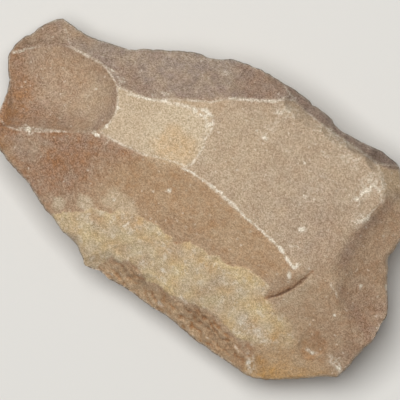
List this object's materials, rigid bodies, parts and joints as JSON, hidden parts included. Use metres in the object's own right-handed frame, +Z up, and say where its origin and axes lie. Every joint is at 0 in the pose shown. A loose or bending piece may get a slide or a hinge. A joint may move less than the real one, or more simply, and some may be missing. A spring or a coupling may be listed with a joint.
{
  "type": "stone hand axe",
  "caption": "Teardrop hand axe knapped from one piece of quartzite, with a flaked ridged upper face, a worn sharp edge all round and a strip of old cobble skin along the near side.",
  "frame": {"origin": "centre of the plan's bounding box, on the plane of the flat spot that the axe lies on", "axes": "+X along the length from the narrow tip to the broad butt, +Y across towards the steep back, +Z up out of the flaked upper face"},
  "size_m": [0.155, 0.0886, 0.0432],
  "materials": {
    "quartzite": "matt, finely granular, knapped"
  },
  "bodies": {
    "root": {"hand_axe": "quartzite"}
  },
  "joints": []
}
